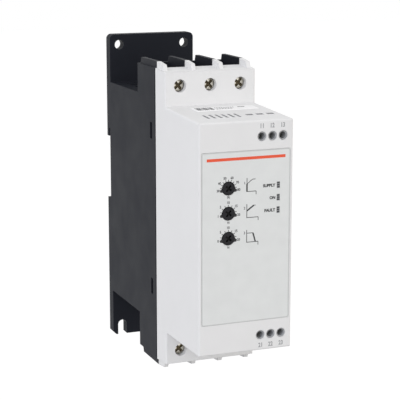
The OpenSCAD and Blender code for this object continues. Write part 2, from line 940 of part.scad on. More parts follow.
module thyristor(sx) {
    color(black)
    difference() {
        translate([sx * thyristor_x, 0, z_plate])
            union() {
                span(about(0, thyristor_w), [y_sink - thyristor_t, y_sink], about(0, thyristor_h));
                for (k = [-1 : 1])
                    translate([k * thyristor_w / 4, 0, -thyristor_h / 4])
                        rod([y_power_back, y_sink - thyristor_t / 2], pin_r);
            }
        translate([sx * thyristor_x, 0, z_plate + thyristor_screw])
            rod([y_sink - thyristor_t - through, y_sink + through], sink_screw_r + gap);
    }
}

module thyristor_screws() {
    color(steel)
    for (sx = [-1, 1])
        translate([sx * thyristor_x, y_sink, z_plate + thyristor_screw])
            sink_screw(thyristor_t, sink_base_t - sink_blind);
}

// Screw driven into the heat sink side, with its head standing in front of a seat
module sink_screw(stand, reach) {
    rod([-stand, reach], sink_screw_r);
    difference() {
        rod([-stand - sink_head_t, -stand], 2 * sink_screw_r - gap);
        for (turn = [0, 90])
            rotate([0, turn, 0])
                span(about(0, 2 * sink_screw_r),
                    [-stand - sink_head_t - through, -stand - sink_head_t + sink_recess],
                    about(0, cross_w * 2 / 3));
    }
}

module heat_sink() {
    pitch = (2 * fin_half - fin_t) / (fin_count - 1);
    color(alu)
    difference() {
        union() {
            span([-board_half, board_half], [y_sink, y_sink_back],
                about(z_plate, sink_h));
            for (k = [0 : fin_count - 1])
                translate([k * pitch - fin_half, 0, z_plate])
                    span([0, fin_t], [y_sink_back - through, fin_end], about(0, fin_l));
        }
        for (sx = [-1, 1], sz = [-1, 1])
            translate([sx * sink_post_x, 0, z_plate + sz * sink_post_z])
                rod([y_sink - through, y_sink_back + through], sink_screw_r + gap);
        for (sx = [-1, 1])
            translate([sx * thyristor_x, 0, z_plate + thyristor_screw])
                rod([y_sink - through, y_sink_back - gap], sink_screw_r + spindle_gap);
    }
}

module heat_sink_screws() {
    color(steel)
    for (sx = [-1, 1], sz = [-1, 1])
        translate([sx * sink_post_x, y_sink, z_plate + sz * sink_post_z])
            sink_screw(0, sink_base_t + sink_bite);
}

// Bent busbar from a box clamp through the floor of its bay to the power board
module busbar(s, i) {
    z_foot = bay_z(s) - s * (wall + bar_drop);
    color(copper)
    translate([screw_x(i), 0, 0]) {
        span(about(0, bar_w), [y_bar, y_bar + bar_t],
            [z_foot, screw_z(s) + s * (clamp_l / 2 + bar_end)]);
        span(about(0, bar_w), [y_bar, y_power], [z_foot, z_foot + s * bar_t]);
    }
}

// Box clamp round the end of a busbar
module box_clamp(s, i) {
    color(steel)
    translate([screw_x(i), 0, screw_z(s)])
        difference() {
            span(about(0, clamp_w), [y_clamp, y_clamp_end], about(0, clamp_l));
            span(about(0, clamp_w - 2 * clamp_t), [y_window, y_clamp_end - clamp_t],
                about(0, clamp_l + 2 * through));
            rod([y_clamp - through, y_window + through], screw_d / 2 + spindle_gap);
        }
}

// Terminal screws of one end, with a slot and a cross recess
module power_screws(s) {
    color([0.8, 0.74, 0.58])
    for (i = [-1 : 1])
        translate([screw_x(i), 0, screw_z(s)])
            difference() {
                union() {
                    rod([y_head, y_shank], screw_head_d / 2);
                    rod([y_head, y_tip], screw_d / 2);
                }
                rotate([0, screw_turn + screw_turn_step * i, 0]) {
                    span(about(0, 2 * screw_head_d), [y_head - through, y_head + screw_head_t / 3],
                        about(0, cross_w));
                    span(about(0, cross_w), [y_head - through, y_head + screw_head_t / 2],
                        about(0, cross_l));
                }
            }
}

// Sliding latch with a flange in the channel, a bevelled hook and a slot for a screwdriver
module rail_latch() {
    y_flange = y_channel + gap;
    color(black)
    difference() {
        union() {
            along_x(about(0, latch_w))
                polygon([
                    [y_flange, z_latch_bottom], [y_flange, z_notch - gap],
                    [y_groove + gap, z_notch - gap], [y_groove + gap, z_latch_top],
                    [y_groove + 2 * gap, z_latch_top], [y_latch, z_latch_top - latch_grip],
                    [y_latch, z_latch_bottom]
                ]);
            span(about(0, flange_w), [y_flange, y_lip - gap],
                [z_latch_bottom, z_stop - gap]);
        }
        span(about(0, 2 * spring_window), [y_channel - through, through],
            [z_spring_seat - spring_post - gap, z_spring_top]);
        span(about(0, pull_w), [y_channel - through, through], about(pull_z, pull_h));
    }
}

// Coil spring between its post and the upper edge of the latch's window: the wire's section is
// carried round a helix whose end turns lie close
module latch_spring() {
    r = (spring_d - spring_wire) / 2;
    length = z_spring_top - z_spring_seat - spring_wire - gap;
    count = spring_turns * spring_steps;
    points = [
        for (k = [0 : count], j = [0 : spring_sides - 1])
            let (turn = 360 * k / spring_steps, side = 360 * j / spring_sides,
                reach = r + spring_wire / 2 * cos(side),
                rise = length * k / count + spring_wire / 2 * sin(side))
            [reach * cos(turn), reach * sin(turn), rise]
    ];
    walls = [
        for (k = [0 : count - 1], j = [0 : spring_sides - 1])
            let (a = k * spring_sides + j, b = k * spring_sides + (j + 1) % spring_sides)
            [a, a + spring_sides, b + spring_sides, b]
    ];
    caps = [
        [for (j = [0 : spring_sides - 1]) j],
        [for (j = [spring_sides - 1 : -1 : 0]) count * spring_sides + j]
    ];
    color(steel)
    translate([0, y_spring, z_spring_seat + spring_wire / 2 + gap / 2])
        polyhedron(points, concat(walls, caps));
}

base_housing();
front_cover();
fascia_film();
blank_sticker();
dial(1);  // dial_upper
dial(0);  // dial_middle
dial(-1);  // dial_lower
trimmer(1);  // trimmer_upper
trimmer(0);  // trimmer_middle
trimmer(-1);  // trimmer_lower
light_pipe(1);  // light_pipe_upper
light_pipe(0);  // light_pipe_middle
light_pipe(-1);  // light_pipe_lower
indicator(1);  // indicator_upper
indicator(0);  // indicator_middle
indicator(-1);  // indicator_lower
control_board();
control_board_screws();
control_block(1);  // control_block_upper
control_block(-1);  // control_block_lower
control_clamps(1);  // control_clamps_upper
control_clamps(-1);  // control_clamps_lower
control_screws(1);  // control_screws_upper
control_screws(-1);  // control_screws_lower
link_board();
link_socket_front();
link_socket_rear();
power_board();
power_board_screws();
relay(-1);  // relay_left
relay(1);  // relay_right
thyristor(-1);  // thyristor_left
thyristor(1);  // thyristor_right
thyristor_screws();
heat_sink();
heat_sink_screws();
busbar(1, -1);  // line_bar_left
busbar(1, 0);  // line_bar_middle
busbar(1, 1);  // line_bar_right
busbar(-1, -1);  // motor_bar_left
busbar(-1, 0);  // motor_bar_middle
busbar(-1, 1);  // motor_bar_right
box_clamp(1, -1);  // line_clamp_left
box_clamp(1, 0);  // line_clamp_middle
box_clamp(1, 1);  // line_clamp_right
box_clamp(-1, -1);  // motor_clamp_left
box_clamp(-1, 0);  // motor_clamp_middle
box_clamp(-1, 1);  // motor_clamp_right
power_screws(1);  // line_screws
power_screws(-1);  // motor_screws
rail_latch();
latch_spring();
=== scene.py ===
"""Looks of a compact three-phase soft starter.

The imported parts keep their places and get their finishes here. The prints of the front face, the
terminal screws with their recess and thread, and the latch spring are made here as meshes.
"""
import math
from functools import cache

import bmesh
import bpy
import numpy as np
from bpy.props import FloatProperty, FloatVectorProperty, IntProperty, PointerProperty
from bpy.types import NodeSocket, Operator, Panel, PropertyGroup, Scene
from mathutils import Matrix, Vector


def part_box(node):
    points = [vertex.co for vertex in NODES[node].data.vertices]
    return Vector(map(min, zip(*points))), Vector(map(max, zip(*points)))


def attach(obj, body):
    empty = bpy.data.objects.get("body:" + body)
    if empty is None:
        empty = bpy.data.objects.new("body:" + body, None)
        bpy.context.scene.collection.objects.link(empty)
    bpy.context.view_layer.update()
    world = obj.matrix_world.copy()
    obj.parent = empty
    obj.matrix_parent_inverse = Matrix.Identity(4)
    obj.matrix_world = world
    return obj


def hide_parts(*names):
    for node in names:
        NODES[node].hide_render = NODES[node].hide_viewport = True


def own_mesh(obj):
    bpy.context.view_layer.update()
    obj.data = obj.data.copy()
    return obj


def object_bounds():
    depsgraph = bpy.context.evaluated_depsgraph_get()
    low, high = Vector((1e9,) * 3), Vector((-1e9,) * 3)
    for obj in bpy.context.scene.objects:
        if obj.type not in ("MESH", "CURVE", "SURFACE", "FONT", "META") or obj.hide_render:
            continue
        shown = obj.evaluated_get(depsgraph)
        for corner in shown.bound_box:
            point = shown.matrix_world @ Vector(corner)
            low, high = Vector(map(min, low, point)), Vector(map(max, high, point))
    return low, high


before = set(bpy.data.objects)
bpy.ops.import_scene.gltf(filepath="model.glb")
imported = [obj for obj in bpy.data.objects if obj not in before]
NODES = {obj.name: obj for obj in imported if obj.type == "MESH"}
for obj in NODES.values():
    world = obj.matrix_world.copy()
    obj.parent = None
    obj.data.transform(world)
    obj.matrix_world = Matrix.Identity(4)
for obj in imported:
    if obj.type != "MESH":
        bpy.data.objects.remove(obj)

bl_info = {
    "name": "Soft starter looks",
    "version": (1, 0, 0),
    "blender": (4, 5, 0),
    "location": "View3D > Sidebar > Soft starter",
    "description": "Finishes, prints and small pieces of a compact three-phase soft starter",
    "category": "Object",
}

MM = 0.001
CAD_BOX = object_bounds()
LEVELS = ("upper", "middle", "lower")
HOUSING = "housing"
WHITE = (1.0, 1.0, 1.0, 1.0)
SHADE_BLACK = (0.0, 0.0, 0.0)
# Name of the mesh mark that says where painted shade goes: the sunk part of the screws' cross recess and the
# vents' walls
SHADE_MARK = "recess"
# Rise of a face's normal below which the face counts as upright
UPRIGHT = 0.5
# Share of the ink's thickness that lies below its surface, and the span in which a glyph's points are welded
SUNK = 1 / 3
WELD = 1e-5
# Turn from which an edge of a screw or of the spring's wire stays sharp
SCREW_CREASE = math.radians(38)
COIL_CREASE = math.radians(50)
# Width of the lettering against the font's own, and the growth of its strokes
DIGIT_STYLE = {"stretch": 0.9, "weight": 0.025}
WORD_STYLE = {"stretch": 0.98, "weight": 0.05}
NUMBER_STYLE = {"stretch": 0.8, "weight": 0.03}


def linear(code):
    """Linear red, green and blue of a display colour written as six hexadecimal digits."""
    shares = [int(code[i:i + 2], 16) / 255 for i in (0, 2, 4)]
    return tuple(s / 12.92 if s <= 0.04045 else ((s + 0.055) / 1.055) ** 2.4 for s in shares)


def tone(name, description, code):
    """Colour property whose default is written as a display colour."""
    return FloatVectorProperty(name=name, description=description, subtype="COLOR", size=3,
                               min=0.0, max=1.0, default=linear(code))


def length(name, description, millimetres):
    """Length property whose default is written in millimetres."""
    return FloatProperty(name=name, description=description, unit="LENGTH", precision=5,
                         default=millimetres * MM)


def degrees(name, description, default):
    """Angle property whose default is written in degrees."""
    return FloatProperty(name=name, description=description, subtype="ANGLE", default=math.radians(default))


def amount(name, description, default, unit="NONE"):
    """Number with or without a unit."""
    return FloatProperty(name=name, description=description, default=default, unit=unit)


def share(name, description, default):
    """Number between nought and one."""
    return FloatProperty(name=name, description=description, min=0.0, max=1.0, default=default)


def position(name, description, metres):
    """Place of a camera or lamp in metres."""
    return FloatVectorProperty(name=name, description=description, subtype="TRANSLATION", unit="LENGTH",
                               default=metres)


class FinishSettings(PropertyGroup):
    """Colours of the starter's plastics, metals and inks."""

    base: tone("Base", "Dark moulded base with the mounting plate", "1f2127")
    cover: tone("Cover", "Pale moulded front cover", "e0e0e0")
    film: tone("Fascia", "Printed film on the front face", "d9dbda")
    paper: tone("Sticker", "Blank sticker on the top", "f2f2f2")
    dial: tone("Dials", "Black plastic of the setting dials", "1f1f22")
    lamp: tone("Lamps", "Smoky plastic of the unlit lamps", "3c3d3f")
    lamp_rib: tone("Lamp ribs", "Pale lines between the ribs of the lamps", "8c8e90")
    block: tone("Control blocks", "Plastic of the control terminals", "a2a4a6")
    latch: tone("Latch", "Black plastic of the rail latch", "1d1d1f")
    laminate: tone("Boards", "Solder mask of the circuit boards", "1d5a34")
    resin: tone("Resin", "Dark plastic of the relays, sockets and thyristors", "242428")
    trimmer: tone("Trimmers", "Blue plastic of the trimmers", "2f57a8")
    indicator: tone("Indicators", "Milky resin of the light sources", "e8e2cf")
    zinc: tone("Zinc", "Bright zinc plating", "c9c8c4")
    # Painted shade and painted reflection: this dark colour is laid on the sunk part of the screws' cross
    # recess; it is not oil
    recess: tone("Recess", "Oiled bottom of the screws' recess", "4d4535")
    yellow_zinc: tone("Yellow zinc", "Yellowish plating of the terminal screws", "ece7d9")
    copper: tone("Copper", "Bare copper of the busbars", "c07a52")
    aluminium: tone("Aluminium", "Extruded heat sink", "c4c6c8")
    ink: tone("Black ink", "Scale marks and wedges", "161618")
    grey_ink: tone("Grey ink", "Numbers and diagrams", "2e2f31")
    word_ink: tone("Word ink", "Words beside the lamps", "28292b")
    pale_ink: tone("Pale ink", "Terminal numbers", "97989a")
    bar_ink: tone("Bar ink", "Bars on the sticker", "4a4b4d")
    border: tone("Border", "Line round the fascia", "bbbdbc")
    stripe: tone("Stripe", "Plain stripe across the fascia", "e2512f")
    grain: length("Grain", "Depth of the moulded texture", 0.012)
    edge: length("Edge", "Radius to which moulded edges look rounded", 0.3)
    # Painted shade: the dials' slots are painted black from their front face down to this depth
    slot_d: length("Slot shade", "Depth at which the dials' slots look black", 0.6)
    # Painted shade: a darker colour painted on the vents' walls
    vent: tone("Vents", "Shaded walls of the vents", "a9a9ab")
    vents_x: length("Vents' side", "Half of the span of the vents across the cover", 20)
    vents_y: length("Vents' depth", "Half of their span from front to back", 4.5)


class PrintSettings(PropertyGroup):
    """Sizes of the prints on the front face and the sticker."""

    ink_t: length("Ink thickness", "Height of the ink above its surface", 0.03)
    border_w: length("Border", "Width of the line round the fascia", 0.25)
    border_inset: length("Border inset", "Distance of that line from the film's edge", 0.25)
    border_r: length("Border corner", "Corner radius of that line", 0.7)
    stripe_w: length("Stripe", "Width of the plain stripe", 1.3)
    stripe_inset: length("Stripe inset", "Distance of the stripe below the fascia's top", 3.3)
    stripe_side: length("Stripe side", "Distance of the stripe's ends from the fascia's sides", 2.4)
    sweep: degrees("Sweep", "Turn of a dial from its middle to each end of the scale", 106)
    digit_sweep: degrees("Digit sweep", "Turn from a scale's middle to its end numbers", 99)
    tick_start: length("Tick start", "Inner radius of the scale marks", 3.2)
    tick_end: length("Tick end", "Outer radius of the scale marks", 3.95)
    tick_w: length("Tick width", "Width of a scale mark", 0.27)
    wedge_start: length("Wedge start", "Inner radius of the wedges at the ends of a scale", 2.9)
    wedge_end: length("Wedge end", "Outer radius of these wedges", 4.15)
    wedge_w: length("Wedge width", "Width of a wedge at the dial", 1.9)
    wedge_tip: length("Wedge tip", "Width of a wedge at its outer end", 0.9)
    digit_h: length("Digits", "Height of the scale's numbers", 1.2)
    digit_r: length("Digit radius", "Distance of the numbers from the dial's middle", 4.95)
    unit_drop: length("Unit drop", "Distance of the unit below the dial's middle", 4.0)
    word_h: length("Words", "Height of the words beside the lamps", 1.45)
    word_gap: length("Word gap", "Gap between a word and its lamp", 0.75)
    lamp_w: length("Lamp width", "Width of a lamp in the front face", 1.4)
    line_w: length("Thin line", "Width of the diagrams' thin lines", 0.29)
    bold_w: length("Bold line", "Width of the diagrams' bold lines", 0.66)
    diagram_x: length("Diagrams", "Distance of the diagrams' axes from the dials", 8.8)
    label_x: length("Diagram label", "Distance of a diagram's number from its upright axis", 1.1)
    label_z: length("Diagram label rise", "Height of that number above the dial's middle", 1.9)
    axis_tail: length("Axis tail", "Length of the short line down from a level axis", 1.5)
    number_h: length("Terminal numbers", "Height of the numbers at the control terminals", 2.1)
    number_shift: length("Number shift", "Distance of these numbers from the screws", 4.7)
    sticker_t: length("Sticker", "Thickness of the sticker", 0.2)
    thick_bar: length("Thick bar", "Width of the sticker's thick upright bars", 1.0)
    thin_bar: length("Thin bar", "Width of the sticker's thin upright bars", 0.5)
    dash_w: length("Dash width", "Width of the sticker's rows of dashes", 1.1)
    dash_gap: length("Dash gap", "Gap between two dashes", 0.5)


class PieceSettings(PropertyGroup):
    """Sizes of the terminal screws and the latch spring."""

    head_r: length("Head radius", "Radius of a terminal screw's head", 2.75)
    head_t: length("Head", "Thickness of a terminal screw's head", 2.2)
    head_dome: length("Dome", "Rise of the head's middle", 0.25)
    head_edge: length("Head edge", "Rounding of the head's edge", 0.35)
    shank_r: length("Shank", "Radius of the thread's crests", 2.0)
    thread_pitch: length("Pitch", "Pitch of the thread", 0.7)
    thread_depth: length("Thread depth", "Depth of the thread", 0.38)
    recess_w: length("Recess width", "Width of the cross recess", 1.15)
    recess_l: length("Recess length", "Length of the cross recess", 5.0)
    recess_d: length("Recess depth", "Depth of the cross recess", 1.1)
    recess_edge: length("Recess edge", "Width of the slope at the recess's sides", 0.18)
    recess_taper: share("Recess taper", "Share of its depth that the recess loses at the head's edge", 0.5)
    screw_turn: degrees("Screw turn", "Turn of the middle screw's recess", 46)
    screw_step: degrees("Screw step", "Turn from one screw's recess to the next", 6)
    wire_r: length("Spring wire", "Radius of the latch spring's wire", 0.2)
    spring_turns: IntProperty(name="Spring turns", description="Turns of the latch spring", min=3, default=9)
    spring_keep: share("Spring", "Share of its length that the spring keeps at the latch's limit", 0.75)


class StageSettings(PropertyGroup):
    """Camera, light and floor."""

    lens: amount("Lens", "Focal length of the camera", 125.43, "CAMERA")
    eye: position("Eye", "Place of the camera", (-0.2415, -0.6781, 0.1262))
    aim: FloatVectorProperty(name="Aim", description="Turn of the camera", subtype="EULER",
                             default=(math.radians(78.332), 0.0, math.radians(-21.738)))
    ambient: amount("Ambient", "Strength of the light from all round", 1.17)
    zenith: share("Zenith", "Share of that strength straight above", 0.54)
    key: amount("Key", "Power of the lamp at the upper left", 20.2, "POWER")
    key_place: position("Key place", "Place of the lamp at the upper left", (-1.7, -1.3, 1.1))
    fill: amount("Fill", "Power of the lamp at the right", 6.4, "POWER")
    fill_place: position("Fill place", "Place of the lamp at the right", (1.6, -1.2, 0.6))
    key_tone: tone("Key tone", "Cool white of the lamp at the upper left", "f1f3ff")
    fill_tone: tone("Fill tone", "Warm white of the lamp at the right", "fff2dc")
    lamp_size: length("Lamp size", "Side of each square lamp", 1600)
    floor_drop: length("Floor", "Distance of the floor below the starter", 350)
    floor_span: length("Floor span", "Half of the floor's side", 6000)
    floor_tone: share("Floor tone", "Share of the light that the floor throws back", 0.5)
    floor_glow: share("Floor glow", "Brightness added to the floor where it is seen", 0.56)


GROUPS = (("starter_finish", FinishSettings), ("starter_print", PrintSettings),
          ("starter_pieces", PieceSettings), ("starter_stage", StageSettings))


def feed(tree, node, sockets):
    """Sets a node's input sockets, by name or number, to values, or links them to output sockets."""
    for key, value in sockets.items():
        if isinstance(value, NodeSocket):
            tree.links.new(value, node.inputs[key])
        else:
            node.inputs[key].default_value = value


def add_node(tree, kind, sockets=None, **properties):
    """New shader node of a kind, with its properties and what its input sockets are set or linked to."""
    made = tree.nodes.new("ShaderNode" + kind)
    for key, value in properties.items():
        setattr(made, key, value)
    feed(tree, made, sockets or {})
    return made


def add_noise(tree, place, scale, detail, roughness=0.5):
    """Socket of a noise at a place."""
    sockets = {"Vector": place, "Scale": scale, "Detail": detail, "Roughness": roughness}
    return add_node(tree, "TexNoise", sockets).outputs["Fac"]


def rise_between(tree, value, start, full):
    """Socket of a mask that goes from nought to one as a value goes from a start to its full height."""
    ramp = add_node(tree, "MapRange", {"Value": value, "From Min": start, "From Max": full})
    return ramp.outputs["Result"]


def spread_values(tree, mask, low, high):
    """Socket that carries a mask between nought and one over to a range of values."""
    ramp = add_node(tree, "MapRange", {"Value": mask, "To Min": low, "To Max": high})
    return ramp.outputs["Result"]


def blend_colours(tree, mask, low, high):
    """Socket that goes by a mask from a colour, or another colour socket, to a second colour."""
    start = low if isinstance(low, NodeSocket) else (*low, 1.0)
    sockets = {"Factor": mask, "A": start, "B": (*high, 1.0)}
    return add_node(tree, "Mix", sockets, data_type="RGBA").outputs["Result"]


def split_place(tree, source="Object"):
    """Sockets of the three axes of a place in the object's own frame, or in another."""
    place = add_node(tree, "TexCoord").outputs[source]
    return add_node(tree, "SeparateXYZ", {"Vector": place}).outputs


def new_group(name, inputs, outputs):
    """Empty shader node group with its sockets, the sockets that come in and the end node."""
    group = bpy.data.node_groups.new(name, "ShaderNodeTree")
    for label, kind, default in inputs:
        socket = group.interface.new_socket(label, in_out="INPUT", socket_type="NodeSocket" + kind)
        socket.default_value = default
    for label, kind in outputs:
        group.interface.new_socket(label, in_out="OUTPUT", socket_type="NodeSocket" + kind)
    return group, group.nodes.new("NodeGroupInput").outputs, group.nodes.new("NodeGroupOutput")


@cache
def grain_group():
    """Moulded texture: a fine noise for the height and broad soft patches for tone and gloss."""
    group, start, end = new_group("Moulded grain",
                                  [("Scale", "Float", 2200.0), ("Patches", "Float", 70.0)],
                                  [("Height", "Float"), ("Tone", "Float")])
    place = add_node(group, "TexCoord").outputs["Object"]
    fine = add_noise(group, place, start["Scale"], 3.0, 0.6)
    broad = add_noise(group, place, start["Patches"], 2.0)
    feed(group, end, {"Height": fine, "Tone": rise_between(group, broad, 0.3, 0.7)})
    return group


@cache
def edge_group():
    """Rounded edges: a normal softened near edges, and a mask that is one where it turns away most."""
    group, start, end = new_group("Rounded edges", [("Radius", "Float", 0.0003)],
                                  [("Mask", "Float"), ("Normal", "Vector")])
    soft = add_node(group, "Bevel", {"Radius": start["Radius"]}, samples=6).outputs["Normal"]
    flat = add_node(group, "NewGeometry").outputs["Normal"]
    match = add_node(group, "VectorMath", {0: soft, 1: flat}, operation="DOT_PRODUCT")
    feed(group, end, {"Mask": rise_between(group, match.outputs["Value"], 0.99, 0.75), "Normal": soft})
    return group


@cache
def streak_group():
    """Drawn, rolled or plated metal: noise stretched along one axis, with broad patches of tarnish."""
    group, start, end = new_group("Metal streaks",
                                  [("Stretch", "Vector", (1.0, 1.0, 1.0)), ("Patches", "Float", 400.0)],
                                  [("Height", "Float"), ("Tarnish", "Float")])
    place = add_node(group, "TexCoord").outputs["Object"]
    pull = add_node(group, "Mapping", {"Vector": place, "Scale": start["Stretch"]})
    lines = add_noise(group, pull.outputs["Vector"], 1.0, 4.0, 0.65)
    stain = add_noise(group, place, start["Patches"], 3.0)
    feed(group, end, {"Height": lines, "Tarnish": rise_between(group, stain, 0.35, 0.75)})
    return group


def use_group(tree, group, **sockets):
    """Output sockets of a shared effect in a material, with its own values."""
    return add_node(tree, "Group", sockets, node_tree=group).outputs


def new_material(name):
    """Empty node material with its surface shader."""
    material = bpy.data.materials.new(name)
    material.use_nodes = True
    return material, material.node_tree, material.node_tree.nodes["Principled BSDF"]


def scaled(colour, factor):
    """Colour made darker or lighter by a factor."""
    return tuple(min(1.0, c * factor) for c in colour)


def mottled(tree, mask, colour, vary):
    """Socket of a colour that a mask makes a share darker and lighter."""
    return blend_colours(tree, mask, scaled(colour, 1 - vary), scaled(colour, 1 + vary))


def vary_gloss(tree, shader, mask, low, high):
    """Spreads a shader's roughness between two values by a mask socket."""
    feed(tree, shader, {"Roughness": spread_values(tree, mask, low, high)})


def bump_normal(tree, shader, height, strength, distance, over=None, invert=False):
    """Bumps a shader's normal by a height socket, over another normal socket where one is given."""
    sockets = {"Strength": strength, "Distance": distance, "Height": height}
    if over is not None:
        sockets["Normal"] = over
    bump = add_node(tree, "Bump", sockets, invert=invert)
    feed(tree, shader, {"Normal": bump.outputs["Normal"]})


def recessed(tree, surface, colour):
    """Socket of a colour that gives way to a painted shade colour, if one is given, where the mesh's shade
    mark is one.
    """
    if colour is None:
        return surface
    mark = add_node(tree, "Attribute", attribute_name=SHADE_MARK)
    return blend_colours(tree, mark.outputs["Fac"], surface, colour)


def moulded(name, colour, settings, roughness=0.5, specular=0.5, depth=1.0, edge_highlight=1.25, vary=0.05, face=None,
            hollow_shade=None):
    """Moulded plastic: fine grain, soft patches of tone and gloss, and edges painted a little lighter as a
    painted highlight. A face is the place of a front that looks forwards, behind which slots are painted
    black with their depth, as painted shade. A hollow_shade is the painted shade colour that shows where
    the mesh's shade mark is one."""
    material, tree, shader = new_material(name)
    grain = use_group(tree, grain_group())
    edge = use_group(tree, edge_group(), Radius=settings.edge)
    patches = mottled(tree, grain["Tone"], colour, vary)
    # Painted highlight: edges painted lighter by the edge_highlight factor
    surface = blend_colours(tree, edge["Mask"], patches, scaled(colour, edge_highlight))
    if face is not None:
        # Painted shade: black painted behind the face as the slots deepen
        slot_shade = rise_between(tree, split_place(tree)["Y"], face, face + settings.slot_d)
        surface = blend_colours(tree, slot_shade, surface, SHADE_BLACK)
    # Painted shade where the mesh's shade mark is one
    surface = recessed(tree, surface, hollow_shade)
    feed(tree, shader, {"Base Color": surface, "Specular IOR Level": specular})
    vary_gloss(tree, shader, grain["Tone"], roughness - 0.04, roughness + 0.04)
    bump_normal(tree, shader, grain["Height"], 0.6, settings.grain * depth, edge["Normal"])
    return material


def metal(name, colour, stretch, roughness=0.28, depth=0.006, tarnish=0.72, edge_r=0.0002, hollow_shade=None):
    """Bare or plated metal: drawn streaks, broad patches of tarnish and slightly broken edges, and a
    hollow_shade colour of painted shade as for plastic."""
    material, tree, shader = new_material(name)
    streak = use_group(tree, streak_group(), Stretch=stretch)
    edge = use_group(tree, edge_group(), Radius=edge_r)
    surface = blend_colours(tree, streak["Tarnish"], colour, scaled(colour, tarnish))
    # Painted shade in the screws' cross recess, where the shade mark is one
    surface = recessed(tree, surface, hollow_shade)
    feed(tree, shader, {"Base Color": surface, "Metallic": 1.0})
    vary_gloss(tree, shader, streak["Tarnish"], roughness - 0.06, roughness + 0.1)
    bump_normal(tree, shader, streak["Height"], 0.5, depth * MM, edge["Normal"])
    return material


def coated(name, colour, roughness=0.42, scale=900.0, vary=0.02):
    """Printed film, paper or ink: even colour with a faint mottle in its tone and gloss."""
    material, tree, shader = new_material(name)
    grain = use_group(tree, grain_group(), Scale=scale, Patches=scale / 6)
    feed(tree, shader, {"Base Color": mottled(tree, grain["Tone"], colour, vary)})
    vary_gloss(tree, shader, grain["Tone"], roughness - 0.03, roughness + 0.03)
    bump_normal(tree, shader, grain["Height"], 0.25, 0.004 * MM)
    return material


def ribbed(name, colour, line, z, pitch=0.9375 * MM, start=0.27, full=0.45):
    """Smoky lens with level ribs: a height less that of the ribs' start swings over half a pitch, and pale
    lines lie where it swings furthest, half-way between two ribs, from a start to their full tone."""
    material, tree, shader = new_material(name)
    rise = add_node(tree, "Math", {0: split_place(tree)["Z"], 1: z}, operation="SUBTRACT")
    wave = add_node(tree, "Math", {0: rise.outputs[0], 1: pitch / 2}, operation="PINGPONG")
    mask = rise_between(tree, wave.outputs[0], start * pitch, full * pitch)
    feed(tree, shader, {"Base Color": blend_colours(tree, mask, colour, line)})
    vary_gloss(tree, shader, mask, 0.2, 0.4)
    bump_normal(tree, shader, mask, 0.5, 0.1 * MM, invert=True)
    return material


def laminate(name, colour):
    """Circuit board: solder mask over a pattern of tracks, which stand out a little and look paler."""
    material, tree, shader = new_material(name)
    place = add_node(tree, "TexCoord").outputs["Object"]
    turn = add_node(tree, "Mapping", {"Vector": place, "Rotation": (math.pi / 2, 0.0, 0.0)})
    bricks = add_node(tree, "TexBrick",
                      {"Vector": turn.outputs["Vector"], "Scale": 160.0, "Mortar Size": 0.09,
                       "Brick Width": 0.9, "Row Height": 0.3})
    tracks = bricks.outputs["Fac"]
    feed(tree, shader, {"Base Color": blend_colours(tree, tracks, colour, scaled(colour, 1.7))})
    vary_gloss(tree, shader, tracks, 0.3, 0.22)
    bump_normal(tree, shader, tracks, 0.6, 0.03 * MM)
    return material


def finish_nodes(material, pattern, words=("",)):
    """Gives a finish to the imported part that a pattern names, or to one for each of some words in it."""
    for word in words:
        slots = NODES[pattern.format(word)].data.materials
        slots.clear()
        slots.append(material)


class SurfacePlane:
    """Flat frame for prints: a point on the surface, the reading direction and the upward direction."""

    def __init__(self, origin, right, up):
        self.origin = np.array(origin, float)
        self.axes = np.array([right, up, np.cross(right, up)], float)
        self.points = []
        self.faces = []
        self.count = 0

    def add(self, points, faces):
        """Adds points, given along the reading direction, upwards and outwards, and their faces."""
        self.points.append(np.asarray(points, float) @ self.axes + self.origin)
        self.faces += [tuple(int(v) + self.count for v in face) for face in faces]
        self.count += len(points)

    def print_piece(self, name, slot, ink, colour):
        """Makes what was added one piece of the housing, in an ink of a colour."""
        add_piece(name, np.concatenate(self.points), self.faces, HOUSING, coated(ink, colour))


def mark_recess(mesh, domain, values):
    """Marks for a mesh's material, at its points or faces, how far they are sunk, from nought to one, which
    sets their painted shade.
    """
    mark = mesh.attributes.new(SHADE_MARK, "FLOAT", domain)
    mark.data.foreach_set("value", np.asarray(values, np.float32))


def add_piece(name, points, faces, body, material, smooth=None, marks=None):
    """New piece with its place in its mesh, which rides on a body and takes a finish. Marks say how far
    its points are sunk, which sets their painted shade."""
    mesh = bpy.data.meshes.new(name)
    mesh.from_pydata(np.asarray(points).tolist(), [], [tuple(f) for f in faces])
    mesh.materials.append(material)
    if smooth is not None:
        mesh.shade_smooth()
        mesh.set_sharp_from_angle(angle=smooth)
    # Painted shade: the marks say how far each point is sunk, and so how much painted shade it takes
    if marks is not None:
        mark_recess(mesh, "POINT", marks)
    mesh.update()
    piece = bpy.data.objects.new(name, mesh)
    bpy.context.scene.collection.objects.link(piece)
    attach(piece, body)
    return piece


